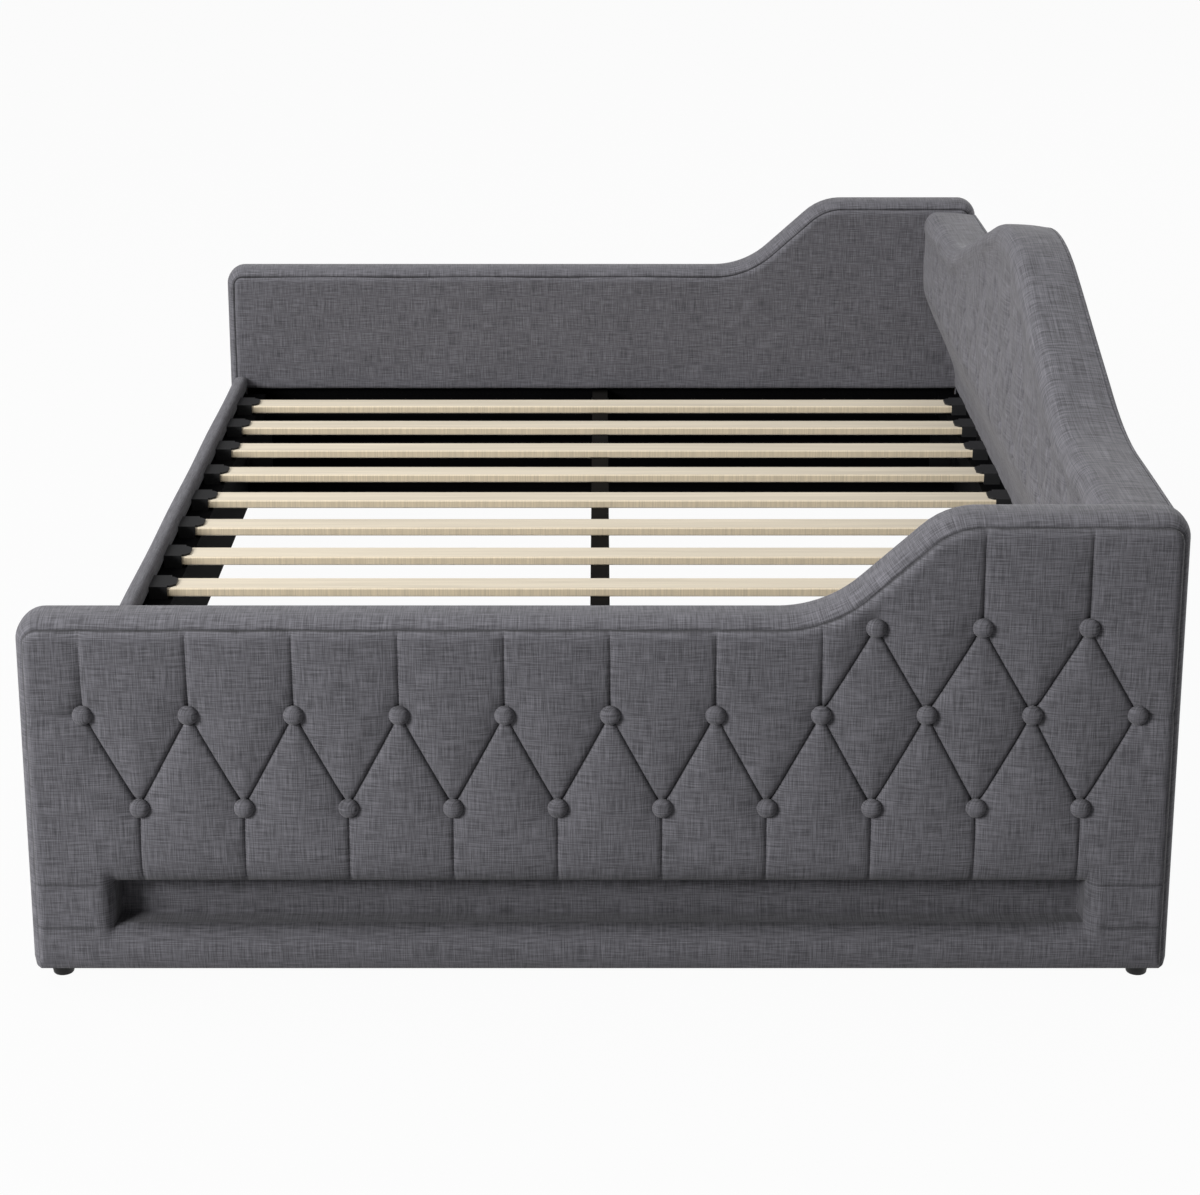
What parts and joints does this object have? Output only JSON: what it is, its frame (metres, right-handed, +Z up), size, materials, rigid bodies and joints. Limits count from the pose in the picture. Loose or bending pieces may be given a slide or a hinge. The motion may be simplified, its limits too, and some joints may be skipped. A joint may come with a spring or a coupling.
{
  "type": "daybed",
  "caption": "Upholstered daybed with stepped tufted arms, a camel-back tufted backrest, a low front rail and a slatted deck for a mattress.",
  "frame": {"origin": "on the floor under the middle of the bed", "axes": "+X along the bed to the right seen from the front, +Y from the front rail to the backrest, +Z up"},
  "size_m": [2.12, 1.47, 0.7747],
  "materials": {
    "upholstery": "dark grey linen-look weave",
    "slat_wood": "planed pale poplar",
    "holder_plastic": "moulded black, fine grain",
    "black_timber": "black stain, matt",
    "black_steel": "black powder coat",
    "foot_plastic": "moulded dark grey",
    "dust_cloth": "black non-woven",
    "plywood": "raw plywood, hidden"
  },
  "bodies": {
    "root": {"arm_feet": "foot_plastic", "back_board": "plywood", "back_brackets": "black_steel", "back_buttons": "upholstery", "back_ledger": "black_timber", "back_pad": "upholstery", "back_rail": "black_timber", "back_rail_cover": "upholstery", "back_rear_cover": "upholstery", "back_slat_holders": "holder_plastic", "beam_saddles": "black_steel", "centre_beam": "black_timber", "centre_legs": "black_steel", "corner_brackets": "black_steel", "frame_bolts": "black_steel", "front_ledger": "black_timber", "front_rail_board": "black_timber", "front_rail_cover": "upholstery", "front_slat_holders": "holder_plastic", "left_arm_base_roll": "upholstery", "left_arm_board": "plywood", "left_arm_border_band": "upholstery", "left_arm_buttons": "upholstery", "left_arm_dust_cover": "dust_cloth", "left_arm_edge_returns": "upholstery", "left_arm_end_pads": "upholstery", "left_arm_frame": "plywood", "left_arm_inner_pad": "upholstery", "left_arm_lower_cleat": "black_timber", "left_arm_recess_lining": "upholstery", "left_arm_recess_panel": "upholstery", "left_arm_tufted_pad": "upholstery", "left_arm_upper_cleat": "black_timber", "leg_glides": "foot_plastic", "right_arm_base_roll": "upholstery", "right_arm_board": "plywood", "right_arm_border_band": "upholstery", "right_arm_buttons": "upholstery", "right_arm_dust_cover": "dust_cloth", "right_arm_edge_returns": "upholstery", "right_arm_end_pads": "upholstery", "right_arm_frame": "plywood", "right_arm_inner_pad": "upholstery", "right_arm_lower_cleat": "black_timber", "right_arm_recess_lining": "upholstery", "right_arm_recess_panel": "upholstery", "right_arm_tufted_pad": "upholstery", "right_arm_upper_cleat": "black_timber", "slat_01": "slat_wood", "slat_02": "slat_wood", "slat_03": "slat_wood", "slat_04": "slat_wood", "slat_05": "slat_wood", "slat_06": "slat_wood", "slat_07": "slat_wood", "slat_08": "slat_wood", "slat_09": "slat_wood", "slat_10": "slat_wood", "slat_11": "slat_wood", "slat_12": "slat_wood"}
  },
  "joints": []
}
